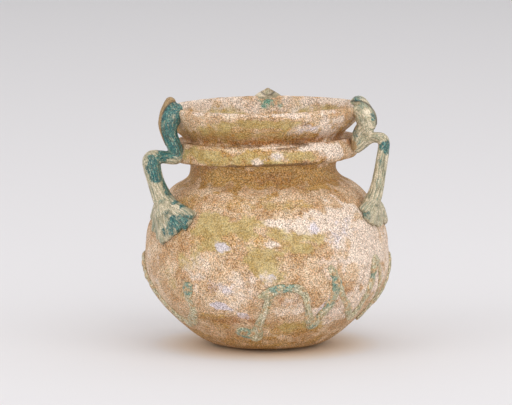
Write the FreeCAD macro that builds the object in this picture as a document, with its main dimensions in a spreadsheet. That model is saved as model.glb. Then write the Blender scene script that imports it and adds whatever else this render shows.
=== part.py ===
# A small wide-mouthed jar of blown glass, with three trailed handles and a zigzag thread round its lower half.
# Millimetres. +Z is up, the origin is on the jar's axis in the plane that its foot stands on, and -Y is the front.
import FreeCAD, Part
import math
import os
import re
import Sketcher

Vector = FreeCAD.Vector
doc = FreeCAD.newDocument("Jar")

# Sizes of the blown jar. A reach is measured out from the axis, and a height up from the foot.
# The outline is a quadratic spline, and each reach and height pair is one of its control points.
sizes = {
    "wall": 2.2,
    "foot_radius": 15.5,
    "foot_ring_width": 3.5,
    "scar_radius": 4.5,
    "kick_rise": 2.0,
    "base_thickness": 3.4,
    "heel_reach": 17.0,
    "rise_reach": 26.5,
    "rise_height": 2.6,
    "swell_reach": 42.0,
    "swell_height": 17.0,
    "belly_radius": 47.5,
    "belly_low_height": 26.8,
    "belly_high_height": 38.5,
    "shoulder_reach": 45.7,
    "shoulder_height": 49.1,
    "slope_reach": 36.9,
    "slope_height": 61.9,
    "neck_radius": 28.1,
    "neck_low_height": 65.7,
    "neck_high_height": 73.0,
    "collar_under_reach": 34.9,
    "collar_under_height": 72.6,
    "collar_radius": 35.9,
    "collar_height": 76.6,
    "collar_top_reach": 34.9,
    "collar_top_height": 80.6,
    "groove_radius": 30.3,
    "groove_low_height": 80.0,
    "groove_high_height": 82.2,
    "funnel_reach": 35.0,
    "funnel_height": 86.2,
    "brim_height": 90.8,
    "rim_radius": 37.8,
    "rim_height": 93.3,
    "lip_width": 2.4,
}

# Sizes of each handle. Angles are in degrees. The rod's route is a chain of corners in the handle's upright plane:
# root on the shoulder, elbow, arch and touch at the collar, and from there bow and crest on the rim.
handles = {
    "left": {
        "angle": 205.0,
        "root_depth": 4.2, "root_rise": 3.4,
        "elbow_overhang": 13.6, "elbow_rise": -1.3,
        "arch_overhang": 7.0, "arch_rise": -0.7,
        "touch_depth": 1.0, "touch_gap": 2.1, "touch_rise": -1.4,
        "bow_overhang": 5.6, "bow_drop": 6.0,
        "crest_overhang": 0.4, "crest_rise": 1.5,
        "root_width": 13.0, "root_thickness": 7.0,
        "leg_width": 6.4, "leg_thickness": 5.9,
        "shelf_width": 5.4, "shelf_thickness": 4.3,
        "climb_width": 5.8, "climb_thickness": 5.4,
        "brow_width": 8.4, "brow_thickness": 6.0,
        "crest_width": 10.5, "crest_thickness": 4.4,
        "fold_inset": 0.8, "fold_peak_rise": 5.4, "fold_peak_overhang": 2.4,
        "fold_tail_overhang": 7.6, "fold_tail_drop": 3.2, "fold_width": 9.4, "fold_thickness": 1.9,
        "toe_thickness": 6.2, "toe_width": 7.0,
    },
    "right": {
        "angle": 337.0,
        "root_depth": 4.6, "root_rise": 3.4,
        "elbow_overhang": 13.2, "elbow_rise": 5.6,
        "arch_overhang": 7.2, "arch_rise": 5.8,
        "touch_depth": 1.0, "touch_gap": 0.7, "touch_rise": 0.4,
        "bow_overhang": 4.9, "bow_drop": 5.6,
        "crest_overhang": 0.6, "crest_rise": 1.5,
        "root_width": 13.0, "root_thickness": 6.4,
        "leg_width": 5.0, "leg_thickness": 4.6,
        "shelf_width": 4.4, "shelf_thickness": 3.6,
        "climb_width": 6.0, "climb_thickness": 5.2,
        "brow_width": 9.2, "brow_thickness": 6.4,
        "crest_width": 10.0, "crest_thickness": 4.6,
        "fold_inset": 0.8, "fold_peak_rise": 5.8, "fold_peak_overhang": 2.0,
        "fold_tail_overhang": 7.2, "fold_tail_drop": 3.6, "fold_width": 7.6, "fold_thickness": 2.0,
        "toe_thickness": 6.0, "toe_width": 7.0,
    },
    "back": {
        "angle": 89.0,
        "root_depth": 4.2, "root_rise": 3.6,
        "elbow_overhang": 14.9, "elbow_rise": 2.6,
        "arch_overhang": 7.4, "arch_rise": 3.2,
        "touch_depth": 1.0, "touch_gap": 1.0, "touch_rise": -0.8,
        "bow_overhang": 5.6, "bow_drop": 5.8,
        "crest_overhang": 0.4, "crest_rise": 1.5,
        "root_width": 13.0, "root_thickness": 6.6,
        "leg_width": 5.8, "leg_thickness": 5.2,
        "shelf_width": 4.8, "shelf_thickness": 4.0,
        "climb_width": 5.8, "climb_thickness": 5.2,
        "brow_width": 8.8, "brow_thickness": 6.0,
        "crest_width": 10.5, "crest_thickness": 4.4,
        "fold_inset": 0.8, "fold_peak_rise": 5.2, "fold_peak_overhang": 2.2,
        "fold_tail_overhang": 7.4, "fold_tail_drop": 3.0, "fold_width": 10.6, "fold_thickness": 1.9,
        "toe_thickness": 6.0, "toe_width": 7.0,
    },
}

# Toes of each pad, pressed out on the shoulder: turn round the axis from the handle's plane, drop below the root
# and length in millimetres, and lean from straight down, in degrees.
toes = {
    "left": {
        "side": {"turn": 12.5, "drop": -1.4, "long": 20.0, "lean": 80.0},
        "front": {"turn": 7.5, "drop": 4.2, "long": 17.0, "lean": 30.0},
        "low": {"turn": 0.5, "drop": 3.4, "long": 14.0, "lean": 4.0},
        "rear": {"turn": -6.5, "drop": 1.0, "long": 14.0, "lean": -52.0},
    },
    "right": {
        "front": {"turn": -8.0, "drop": 1.8, "long": 15.0, "lean": -34.0},
        "low": {"turn": -1.5, "drop": 2.6, "long": 14.0, "lean": -8.0},
        "rear": {"turn": 7.0, "drop": 1.2, "long": 14.0, "lean": 38.0},
    },
    "back": {
        "front": {"turn": -7.5, "drop": 1.8, "long": 15.0, "lean": -40.0},
        "low": {"turn": 0.5, "drop": 2.8, "long": 14.0, "lean": 3.0},
        "rear": {"turn": 7.5, "drop": 1.4, "long": 15.0, "lean": 42.0},
    },
}

for handle, own in handles.items():
    for name, number in own.items():
        sizes[f"{handle}_{name}"] = number
    for toe, places in toes[handle].items():
        for name, number in places.items():
            sizes[f"{handle}_{toe}_toe_{name}"] = number

# Sizes of the zigzag thread.
sizes["trail_diameter"] = 2.9
sizes["trail_low_height"] = 8.0
sizes["trail_high_height"] = 35.0
sizes["trail_turn_width"] = 4.2
sizes["trail_sink"] = 0.2
sizes["trail_lift"] = 0.2
sizes["trail_longest_step"] = 9.0

sheet = doc.addObject("Spreadsheet::Sheet", "Sizes")
for row, (name, number) in enumerate(sizes.items(), start=1):
    sheet.set(f"A{row}", name)
    sheet.set(f"B{row}", str(number))
    sheet.setAlias(f"B{row}", name)
doc.recompute()


def bound(text):
    """The same sum with each size's name read from the sheet."""
    return re.sub(r"[a-z_]+", lambda word: "Sizes." * (word.group(0) in sizes) + word.group(0), text)


def value(text):
    return float(sheet.evalExpression(bound(text)))


def origin_plane(body, role):
    return [feature for feature in body.Origin.OriginFeatures if feature.Role == role][0]


def new_body(name, label):
    body = doc.addObject("PartDesign::Body", name)
    body.Label = label
    return body


def upright_sketch(body, name):
    """A sketch in the body's XZ plane, where x is the reach and y is the height."""
    sketch = body.newObject("Sketcher::SketchObject", name)
    sketch.AttachmentSupport = (origin_plane(body, "XZ_Plane"), [""])
    sketch.MapMode = "FlatFace"
    return sketch


def drive(sketch, constraint, text):
    """Adds a constraint whose number is a sum of named sizes."""
    index = sketch.addConstraint(constraint)
    sketch.setExpression(f"Constraints[{index}]", bound(text))


def pin(sketch, geometry, point, reach, height):
    """Holds a point at a reach and a height, each a sum of named sizes, or on the axis or the foot's plane at 0."""
    if reach == "0":
        sketch.addConstraint(Sketcher.Constraint("PointOnObject", geometry, point, -2))
    else:
        drive(sketch, Sketcher.Constraint("DistanceX", -1, 1, geometry, point, value(reach)), reach)
    if height == "0":
        sketch.addConstraint(Sketcher.Constraint("PointOnObject", geometry, point, -1))
    else:
        drive(sketch, Sketcher.Constraint("DistanceY", -1, 1, geometry, point, value(height)), height)


def place(reach, height):
    return Vector(value(reach), value(height), 0)


def spline_through(poles):
    """A quadratic spline, which touches the middle of each leg between its inner control points."""
    spans = len(poles) - 2
    knots = [float(index) for index in range(spans + 1)]
    repeats = [3] + [1] * (spans - 1) + [3]
    curve = Part.BSplineCurve()
    curve.buildFromPolesMultsKnots([place(*pole) for pole in poles], repeats, knots, False, 2)
    return curve


def add_spline(sketch, poles, first_pinned=True):
    """A spline whose control points are held at named sizes."""
    spline = sketch.addGeometry(spline_through(poles), False)
    sketch.exposeInternalGeometry(spline)
    for index, pole in enumerate(poles, start=1):
        if index > 1 or first_pinned:
            pin(sketch, spline + index, 3, *pole)
    return spline


def middle_of(pole, next_pole):
    return tuple(f"0.5 * (({first}) + ({second}))" for first, second in zip(pole, next_pole))


def add_outline(sketch, poles):
    """The same spline as a chain of short ones that meet at the middle of a leg, each with a face of its own."""
    seams = list(range(legs_per_face, len(poles) - 1, legs_per_face))
    chain = []
    for begin, end in zip([0] + seams, seams + [len(poles)]):
        piece = poles[begin:end]
        if begin > 0:
            piece = [middle_of(poles[begin - 1], poles[begin])] + piece
        if end < len(poles):
            piece = piece + [middle_of(poles[end - 1], poles[end])]
        spline = add_spline(sketch, piece, first_pinned=begin == 0)
        if chain:
            join(sketch, chain[-1], spline)
        chain.append(spline)
    return chain[0], chain[-1]


def add_line(sketch, start, end):
    return sketch.addGeometry(Part.LineSegment(start, end), False)


def join(sketch, first, second):
    """Holds the end of the first at the start of the second."""
    sketch.addConstraint(Sketcher.Constraint("Coincident", first, 2, second, 1))


def revolve(body, sketch):
    turned = body.newObject("PartDesign::Revolution", body.Name + "Revolution")
    turned.Profile = sketch
    turned.ReferenceAxis = (sketch, ["V_Axis"])
    turned.Angle = 360
    return turned


# Outside of the jar, from the foot's outer edge up to the lip.
outer_poles = [
    ("foot_radius", "0"),
    ("heel_reach", "0"),
    ("rise_reach", "rise_height"),
    ("swell_reach", "swell_height"),
    ("belly_radius", "belly_low_height"),
    ("belly_radius", "belly_high_height"),
    ("shoulder_reach", "shoulder_height"),
    ("slope_reach", "slope_height"),
    ("neck_radius", "neck_low_height"),
    ("neck_radius", "neck_high_height"),
    ("collar_under_reach", "collar_under_height"),
    ("collar_radius", "collar_height"),
    ("collar_top_reach", "collar_top_height"),
    ("groove_radius", "groove_low_height"),
    ("groove_radius", "groove_high_height"),
    ("funnel_reach", "funnel_height"),
    ("rim_radius", "brim_height"),
    ("rim_radius", "rim_height"),
]
lip_top = ("rim_radius - 0.5 * lip_width", "rim_height")

# Inside of the jar, from the lip down to the middle of the floor, a wall in from the outside.
# The collar is blown with the rest, so it is hollow too.
inner_poles = [
    ("rim_radius - lip_width", "rim_height"),
    ("rim_radius - lip_width", "brim_height + 0.2 * wall"),
    ("funnel_reach - 0.8 * wall", "funnel_height + 0.5 * wall"),
    ("groove_radius - wall", "groove_high_height + 0.3 * wall"),
    ("groove_radius - wall", "groove_low_height - wall"),
    ("collar_top_reach - wall", "collar_top_height - wall"),
    ("collar_radius - wall", "collar_height"),
    ("collar_under_reach - wall", "collar_under_height + wall"),
    ("neck_radius - wall", "neck_high_height + 0.8 * wall"),
    ("neck_radius - wall", "neck_low_height - 0.5 * wall"),
    ("slope_reach - 0.6 * wall", "slope_height - 0.8 * wall"),
    ("shoulder_reach - 0.9 * wall", "shoulder_height - 0.3 * wall"),
    ("belly_radius - wall", "belly_high_height"),
    ("belly_radius - wall", "belly_low_height"),
    ("swell_reach - 0.8 * wall", "swell_height + 0.7 * wall"),
    ("rise_reach", "kick_rise + base_thickness"),
    ("0", "kick_rise + base_thickness"),
]


# How many of these points each face takes in.
legs_per_face = 3


def jar_body():
    """The jar itself, one gather of glass: foot, belly, shoulder, neck, collar and funnel mouth.
    The round scar in the middle of the hollow base is where the hot jar was held, and it stands level with the ring."""
    body = new_body("JarBody", "jar_body")
    sketch = upright_sketch(body, "JarOutline")
    first_wall, last_wall = add_outline(sketch, outer_poles + inner_poles)
    ring_inside = "foot_radius - foot_ring_width"
    floor = Vector(0, value("kick_rise + base_thickness"), 0)
    foot = Vector(0, 0, 0)
    axis = add_line(sketch, floor, foot)
    scar = add_line(sketch, foot, place("scar_radius", "0"))
    hollow = add_spline(sketch, [
        ("scar_radius", "0"), ("scar_radius", "kick_rise"), (ring_inside, "kick_rise"), (ring_inside, "0"),
    ])
    ring = add_line(sketch, place(ring_inside, "0"), place("foot_radius", "0"))
    for first, second in ((last_wall, axis), (axis, scar), (scar, hollow), (hollow, ring), (ring, first_wall)):
        join(sketch, first, second)
    sketch.addConstraint(Sketcher.Constraint("Coincident", scar, 1, -1, 1))
    revolve(body, sketch)
    return body


def filled_jar():
    """The space inside the jar's outside, with the mouth filled level with the rim. It shapes what is laid on it."""
    body = new_body("FilledJar", "filled_jar")
    sketch = upright_sketch(body, "FilledOutline")
    first_skin, last_skin = add_outline(sketch, outer_poles + [lip_top])
    mouth = Vector(0, value("rim_height"), 0)
    foot = Vector(0, 0, 0)
    top = add_line(sketch, place(*lip_top), mouth)
    axis = add_line(sketch, mouth, foot)
    base = add_line(sketch, foot, place("foot_radius", "0"))
    for first, second in ((last_skin, top), (top, axis), (axis, base), (base, first_skin)):
        join(sketch, first, second)
    sketch.addConstraint(Sketcher.Constraint("PointOnObject", axis, 1, -2))
    sketch.addConstraint(Sketcher.Constraint("Horizontal", top))
    sketch.addConstraint(Sketcher.Constraint("Coincident", base, 1, -1, 1))
    revolve(body, sketch)
    return body


jar = jar_body()
filled = filled_jar()
doc.recompute()
skin_curve = spline_through(outer_poles + [lip_top])


def skin_at(height):
    """The jar's outer reach at a height below the neck, and its lean out from upright in degrees."""
    level = Part.LineSegment(Vector(0, height, 0), Vector(2 * value("belly_radius"), height, 0))
    crossing = skin_curve.intersect(level)[0]
    point = Vector(crossing.X, crossing.Y, 0)
    along = skin_curve.tangent(skin_curve.parameter(point))[0]
    return point.x, math.degrees(math.atan2(along.x, along.y))


# Corners of a handle's two rods, each a reach and a height: the leg from the shoulder up and in to the collar,
# and the bow from there up to the rim. H stands for the handle's prefix.
leg_corners = [
    ("shoulder_reach - H_root_depth", "shoulder_height + H_root_rise"),
    ("collar_radius + H_elbow_overhang", "collar_height + H_elbow_rise"),
    ("collar_radius + H_arch_overhang", "collar_height + H_arch_rise"),
    ("collar_radius - H_touch_depth", "collar_height + H_touch_rise"),
]
bow_corners = [
    ("collar_radius + H_touch_gap", "collar_height + H_touch_rise"),
    ("rim_radius + H_bow_overhang", "rim_height - H_bow_drop"),
    ("rim_radius + H_crest_overhang", "rim_height + H_crest_rise"),
]

# The fold on the rim: the rod's end is doubled back and laid down outside, flattened.
fold_corners = [
    ("rim_radius - H_fold_inset", "rim_height + H_crest_rise"),
    ("rim_radius + H_fold_peak_overhang", "rim_height + H_fold_peak_rise"),
    ("rim_radius + H_fold_tail_overhang", "rim_height - H_fold_tail_drop"),
]

# How far each inner corner is rounded, as a share of the shorter run beside it.
leg_bend_shares = [0.58, 0.38]
bow_bend_shares = [0.48]
fold_bend_shares = [0.55]

# Where the ovals lie on their route, as edge, share of that edge and name of the oval.
leg_station_shares = [("Edge1", 0.0, "root"), ("Edge1", 0.55, "leg"), ("Edge3", 0.5, "shelf"), ("Edge5", 1.0, "shelf")]
bow_station_shares = [("Edge1", 0.0, "climb"), ("Edge1", 0.6, "climb"), ("Edge3", 0.2, "brow"), ("Edge3", 1.0, "crest")]
fold_station_shares = [("Edge1", 0.0, "fold"), ("Edge2", 0.5, "fold"), ("Edge3", 1.0, "fold")]


def run_length(start, end):
    return f"hypot({start[0]} - ({end[0]}); {start[1]} - ({end[1]}))"


def route_sketch(body, name, route, bend_shares):
    """Straight runs through the corners, with a tangent arc at each inner corner."""
    sketch = upright_sketch(body, name)
    lines = [add_line(sketch, place(*start), place(*end)) for start, end in zip(route[:-1], route[1:])]
    for first, second in zip(lines[:-1], lines[1:]):
        join(sketch, first, second)
    for index, (reach, height) in enumerate(route):
        geometry, point = (lines[index], 1) if index < len(lines) else (lines[-1], 2)
        across = sketch.addConstraint(Sketcher.Constraint("DistanceX", -1, 1, geometry, point, value(reach)))
        up = sketch.addConstraint(Sketcher.Constraint("DistanceY", -1, 1, geometry, point, value(height)))
        sketch.renameConstraint(across, f"reach{index}")
        sketch.renameConstraint(up, f"height{index}")
    for index, share in enumerate(bend_shares):
        before, corner, after = route[index:index + 3]
        rounding = f"{share} * min({run_length(before, corner)}; {run_length(corner, after)})"
        way_in = place(*before) - place(*corner)
        way_out = place(*after) - place(*corner)
        radius = value(rounding) * math.tan(way_in.getAngle(way_out) / 2)
        arc = sketch.GeometryCount
        sketch.fillet(lines[index], 2, radius, True, True)
        drive(sketch, Sketcher.Constraint("Distance", arc + 1, 1, lines[index], 2, value(rounding)), rounding)
    for index, (reach, height) in enumerate(route):
        sketch.setExpression(f"Constraints.reach{index}", bound(reach))
        sketch.setExpression(f"Constraints.height{index}", bound(height))
    return sketch


def oval_section(body, name, route, edge, share, width, thickness):
    """An oval square to the route: its width lies round the jar and its thickness in the handle's plane."""
    sketch = body.newObject("Sketcher::SketchObject", name)
    sketch.AttachmentSupport = (route, [edge])
    sketch.MapMode = "NormalToEdge"
    sketch.MapPathParameter = share
    middle = Vector(0, 0, 0)
    half_width = Vector(value(width) / 2, 0, 0)
    half_thickness = Vector(0, value(thickness) / 2, 0)
    oval = sketch.addGeometry(Part.Ellipse(half_width, half_thickness, middle), False)
    sketch.exposeInternalGeometry(oval)
    sketch.addConstraint(Sketcher.Constraint("Coincident", oval, 3, -1, 1))
    sketch.addConstraint(Sketcher.Constraint("Horizontal", oval + 1))
    drive(sketch, Sketcher.Constraint("Distance", oval + 1, value(width)), width)
    drive(sketch, Sketcher.Constraint("Distance", oval + 2, value(thickness)), thickness)
    return sketch


def rod(body, name, route, stations, handle):
    """A rod drawn along the route through the ovals of its stations."""
    doc.recompute()
    ovals = []
    for edge, share, station in stations:
        own = f"{handle}_{station}"
        label = f"{name}{station.title()}{len(ovals)}"
        ovals.append(oval_section(body, label, route, edge, share, own + "_width", own + "_thickness"))
    pipe = body.newObject("PartDesign::AdditivePipe", name)
    pipe.Profile = ovals[0]
    pipe.Spine = (route, [f"Edge{index + 1}" for index in range(len(route.Shape.Edges))])
    pipe.Sections = ovals[1:]
    pipe.Transformation = "Multisection"
    return pipe


def toe(body, handle, name):
    """One toe of the pad: a flattened drop that lies on the shoulder and leans to its side."""
    own = f"{handle}_{name}_toe"
    height = value(f"shoulder_height + {handle}_root_rise - {own}_drop")
    turn = value(own + "_turn")
    reach, lean_out = skin_at(height)
    drop = body.newObject("PartDesign::AdditiveEllipsoid", f"{name.title()}Toe{body.Name}")
    drop.setExpression("Radius1", bound(f"{own}_long / 2"))
    drop.setExpression("Radius2", bound(f"{handle}_toe_thickness / 2"))
    drop.setExpression("Radius3", bound(f"{handle}_toe_width / 2"))
    where = FreeCAD.Rotation(Vector(0, 0, 1), turn).multVec(Vector(reach, 0, height))
    drop.Placement = FreeCAD.Placement(where, FreeCAD.Rotation(turn, lean_out, value(own + "_lean")))
    return drop


def own_route(handle, route):
    return [tuple(re.sub(r"\bH_", handle + "_", text) for text in corner) for corner in route]


def handle_part(handle):
    """One handle: pad on the shoulder, leg out and in to the collar, bow up to the rim, and fold over it."""
    name = handle.title()
    body = new_body(f"{name}Rod", f"{handle}_rod")
    leg = route_sketch(body, f"{name}LegRoute", own_route(handle, leg_corners), leg_bend_shares)
    rod(body, f"{name}Leg", leg, leg_station_shares, handle)
    for toe_name in toes[handle]:
        toe(body, handle, toe_name)
    bow = route_sketch(body, f"{name}BowRoute", own_route(handle, bow_corners), bow_bend_shares)
    rod(body, f"{name}Bow", bow, bow_station_shares, handle)
    fold = route_sketch(body, f"{name}FoldRoute", own_route(handle, fold_corners), fold_bend_shares)
    rod(body, f"{name}Fold", fold, fold_station_shares, handle)
    part = doc.addObject("Part::Cut", f"{name}Handle")
    part.Label = f"handle_{handle}"
    part.Base = body
    part.Tool = filled
    part.setExpression("Placement", f"placement(vector(0; 0; 0); rotation(Sizes.{handle}_angle; 0; 0))")
    return part


# Turning places of the thread: degrees round the axis from the front towards the right, height as a share of the
# way from the lowest place to the highest, and how much of a full turn's width it takes, 0 at a plain corner.
# It starts in a blob at the front and ends left of it.
turn_shares = [
    (-13.2, 0.0, 0), (-1.5, 0.65, 0), (6.5, 0.78, 0), (15.0, 0.77, 0), (27.5, 0.12, 1), (32.5, 0.95, 1),
    (38.5, 0.62, 0), (51.0, 0.26, 1), (60.5, 1.0, 1), (75.0, 0.22, 1), (91.0, 0.94, 1), (110.0, 0.16, 1),
    (127.0, 0.98, 1), (145.0, 0.24, 1), (163.0, 0.9, 1), (180.0, 0.2, 1), (198.0, 1.0, 1), (215.0, 0.18, 1),
    (233.0, 0.92, 1), (250.0, 0.22, 1), (266.0, 0.9, 1), (302.0, 0.01, 1), (318.5, 0.5, 0), (321.0, 0.78, 0),
]
run_share = 0.45


def on_skin(angle, height, lift):
    reach = skin_at(height)[0] + lift
    return FreeCAD.Rotation(Vector(0, 0, 1), angle - 90).multVec(Vector(reach, 0, height))


def trail_points():
    """The thread's corners: two at each full turn, and more along a run, so that it follows the round of the jar."""
    low = value("trail_low_height")
    rise = value("trail_high_height") - low
    places = []
    for angle, share, fullness in turn_shares:
        height = low + share * rise
        half = fullness * math.degrees(value("trail_turn_width / 2") / skin_at(height)[0])
        places += [(angle - half, height), (angle + half, height)] if fullness else [(angle, height)]
    points = [on_skin(*places[0], -value("trail_sink"))]
    for (angle, height), (next_angle, next_height) in zip(places[:-1], places[1:]):
        start = on_skin(angle, height, 0)
        end = on_skin(next_angle, next_height, 0)
        steps = math.ceil(start.distanceToPoint(end) / value("trail_longest_step"))
        for step in range(1, steps + 1):
            share = step / steps
            lift = -value("trail_sink") if step == steps else value("trail_lift")
            points.append(on_skin(angle + share * (next_angle - angle), height + share * (next_height - height), lift))
    return points


def rounded_wire(points):
    """Straight runs joined by tangent arcs, each as large as its shorter run allows."""
    edges = []
    start = points[0]
    for before, corner, after in zip(points[:-2], points[1:-1], points[2:]):
        back = (before - corner).normalize()
        ahead = (after - corner).normalize()
        shorter = min(before.distanceToPoint(corner), corner.distanceToPoint(after))
        reach = run_share * shorter
        half_turn = (math.pi - back.getAngle(ahead)) / 2
        radius = reach / math.tan(half_turn)
        middle_way = (back + ahead).normalize()
        arc_start = corner + back * reach
        arc_end = corner + ahead * reach
        arc_middle = corner + middle_way * (radius / math.cos(half_turn) - radius)
        edges.append(Part.LineSegment(start, arc_start).toShape())
        edges.append(Part.Arc(arc_start, arc_middle, arc_end).toShape())
        start = arc_end
    edges.append(Part.LineSegment(start, points[-1]).toShape())
    return Part.Wire(edges)


def zigzag_trail():
    """One thread of glass, laid hot in a zigzag round the lower half."""
    radius = value("trail_diameter / 2")
    points = trail_points()
    wire = rounded_wire(points)
    ring = Part.Wire(Part.Circle(points[0], points[1] - points[0], radius).toShape())
    tube = wire.makePipeShell([ring], True, False)
    trail = doc.addObject("Part::Feature", "ZigzagTrail")
    trail.Label = "zigzag_trail"
    trail.Shape = tube.cut(filled.Shape)
    trail.Placement = FreeCAD.Placement()
    bends = [edge.Curve.Radius for edge in wire.Edges if edge.Curve.TypeId == "Part::GeomCircle"]
    print("zigzag_trail tightest bend", round(min(bends), 2), "mm, tube volume over section by length",
          round(tube.Volume / (math.pi * radius ** 2 * wire.Length), 4))
    return trail


parts = [jar] + [handle_part(handle) for handle in handles] + [zigzag_trail()]
doc.recompute()

for item in doc.Objects:
    if "Invalid" in item.State or "Error" in item.State:
        raise RuntimeError(f"{item.Label} failed: {item.State}")
for part in parts:
    if part.Shape.isNull() or not part.Shape.isValid():
        raise RuntimeError(f"{part.Label} has no valid shape")

os.makedirs("parts", exist_ok=True)
for part in parts:
    part.Shape.exportStep(f"parts/{part.Label}.step")
    box = part.Shape.BoundBox
    print(part.Label, "solids", len(part.Shape.Solids), "volume", round(part.Shape.Volume), "mm3",
          "box", [round(number, 1) for number in (box.XMin, box.YMin, box.ZMin, box.XMax, box.YMax, box.ZMax)])
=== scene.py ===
import math

import bpy
from mathutils import Matrix, Vector, kdtree, noise


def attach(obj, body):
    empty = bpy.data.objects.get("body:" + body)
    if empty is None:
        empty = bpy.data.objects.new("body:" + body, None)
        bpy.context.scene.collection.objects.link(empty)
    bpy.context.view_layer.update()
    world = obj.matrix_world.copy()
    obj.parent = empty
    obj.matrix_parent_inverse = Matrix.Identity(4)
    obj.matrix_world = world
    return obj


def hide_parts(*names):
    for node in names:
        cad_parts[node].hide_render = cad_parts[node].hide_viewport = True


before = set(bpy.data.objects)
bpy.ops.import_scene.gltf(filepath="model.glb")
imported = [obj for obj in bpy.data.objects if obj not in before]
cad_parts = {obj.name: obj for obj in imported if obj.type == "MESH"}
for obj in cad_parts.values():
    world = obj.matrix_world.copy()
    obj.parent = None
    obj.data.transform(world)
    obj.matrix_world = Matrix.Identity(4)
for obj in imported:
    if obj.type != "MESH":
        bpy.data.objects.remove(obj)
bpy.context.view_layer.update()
print("frame loaded:", sorted(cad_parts))

mm = 0.001
fullTurn = 360


# Small tools

def deselectAll():
    if bpy.context.object and bpy.context.object.mode != "OBJECT":
        bpy.ops.object.mode_set(mode="OBJECT")
    bpy.ops.object.select_all(action="DESELECT")


def pick(*pieces):
    deselectAll()
    for piece in pieces:
        piece.select_set(True)
    bpy.context.view_layer.objects.active = pieces[0]


def finishWith(piece, kind, **settings):
    modifier = piece.modifiers.new(kind, kind)
    for name, value in settings.items():
        setattr(modifier, name, value)
    pick(piece)
    bpy.ops.object.modifier_apply(modifier=modifier.name)


def blend(low, high, share):
    return low + (high - low) * share


def smoothStep(low, high, value):
    share = min(max((value - low) / (high - low), 0), 1)
    return share * share * (3 - 2 * share)


# A smooth line that touches the middle of each leg between its controls, with a point every so often
def splinePoints(controls, spacing):
    controls = [Vector(point) for point in controls]
    line = [controls[0]]
    for index in range(1, len(controls) - 1):
        first = controls[0] if index == 1 else (controls[index - 1] + controls[index]) / 2
        last = controls[-1] if index == len(controls) - 2 else (controls[index] + controls[index + 1]) / 2
        length = (controls[index] - first).length + (last - controls[index]).length
        steps = max(2, math.ceil(length / spacing))
        for step in range(1, steps + 1):
            share = step / steps
            bend = 2 * share * (1 - share) * controls[index]
            line.append((1 - share) ** 2 * first + bend + share ** 2 * last)
    return line


# The blown jar, in millimetres: reach from the axis and height above the floor

jar = {
    "outside": [
        (15.5, 0), (17.0, 0), (26.5, 2.6), (42.0, 17.0), (47.5, 26.8), (47.5, 38.5), (45.7, 49.1),
        (36.9, 61.9), (28.1, 65.7), (28.1, 73.0), (34.6, 72.7), (35.9, 73.8), (36.1, 76.8), (35.4, 80.4),
        (34.6, 80.9), (30.3, 80.0), (30.3, 82.0), (35.0, 86.0), (37.2, 89.8), (38.1, 91.6), (37.9, 93.2),
        (36.8, 93.6), (35.7, 93.0),
    ],
    "inside": [
        (35.0, 92.0), (33.2, 87.3), (28.1, 82.9), (28.1, 77.8), (32.5, 78.4), (33.7, 76.6), (32.7, 74.8),
        (25.9, 74.8), (25.9, 64.6), (35.6, 60.1), (43.7, 48.4), (45.3, 38.5), (45.3, 26.8), (40.2, 18.5),
        (26.5, 5.4), (0, 5.4),
    ],
    "underside": [(0, 0), (4.5, 0), (4.7, 1.9), (8.0, 2.1), (11.5, 1.6), (12.0, 0), (15.5, 0)],
    "spacing": 0.95,
    "insideSpacing": 2.2,
    "segments": 240,
    "roundness": {"size": 30, "strength": 1.0},
    "lumps": {"size": 5, "strength": 0.28},
    "crust": {"size": 1.6, "strength": 0.16},
    "steadyFoot": (1.5, 12),     # between these heights the unevenness sets in
    "weld": 0.01,
}


def drawOutline():
    under = splinePoints(jar["underside"], jar["spacing"])
    outside = splinePoints(jar["outside"] + [jar["inside"][0]], jar["spacing"])
    inside = splinePoints(jar["inside"], jar["insideSpacing"])
    return under + outside[1:] + inside[1:]


outsideLine = splinePoints(jar["outside"][:11], 0.4)


# The jar's outer reach at a height below the collar
def skinReach(height):
    for low, high in zip(outsideLine[:-1], outsideLine[1:]):
        if low.y <= height <= high.y and high.y > low.y:
            return blend(low.x, high.x, (height - low.y) / (high.y - low.y))
    return outsideLine[0].x


# A point on the jar, by degrees from the front towards the right and by height
def skinPoint(azimuth, height, lift=0.0):
    angle = math.radians(azimuth)
    reach = skinReach(height) + lift
    return Vector((reach * math.sin(angle), -reach * math.cos(angle), height))


# Pushes the surface in and out with soft clouds of the given size
def ripple(piece, name, size, strength, group=""):
    clouds = bpy.data.textures.new(name, "CLOUDS")
    clouds.noise_scale = size * mm
    clouds.noise_depth = 2
    finishWith(piece, "DISPLACE", texture=clouds, strength=strength * mm, mid_level=0.5,
               texture_coords="LOCAL", vertex_group=group)


def makeJar():
    line = drawOutline()
    deselectAll()
    start = Vector((line[0].x, 0, line[0].y)) * mm
    bpy.ops.mesh.primitive_plane_add(size=mm, location=start)
    piece = bpy.context.object
    piece.name = "blownJar"
    bpy.ops.object.transform_apply(location=True)
    bpy.ops.object.mode_set(mode="EDIT")
    bpy.ops.mesh.select_mode(type="VERT")
    bpy.ops.mesh.merge(type="CENTER")
    for before, point in zip(line[:-1], line[1:]):
        step = Vector((point.x - before.x, 0, point.y - before.y)) * mm
        bpy.ops.mesh.extrude_region_move(TRANSFORM_OT_translate={"value": step})
    bpy.ops.mesh.select_all(action="SELECT")
    bpy.ops.mesh.spin(steps=jar["segments"], angle=math.radians(fullTurn), center=(0, 0, 0), axis=(0, 0, 1))
    bpy.ops.mesh.select_all(action="SELECT")
    bpy.ops.mesh.remove_doubles(threshold=jar["weld"] * mm)
    bpy.ops.mesh.normals_make_consistent(inside=False)
    bpy.ops.object.mode_set(mode="OBJECT")
    group = piece.vertex_groups.new(name="aboveFoot")
    for vertex in piece.data.vertices:
        group.add([vertex.index], smoothStep(*jar["steadyFoot"], vertex.co.z / mm), "REPLACE")
    for name in ("roundness", "lumps", "crust"):
        ripple(piece, name, jar[name]["size"], jar[name]["strength"], "aboveFoot")
    bpy.ops.object.shade_smooth()
    return piece


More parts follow.
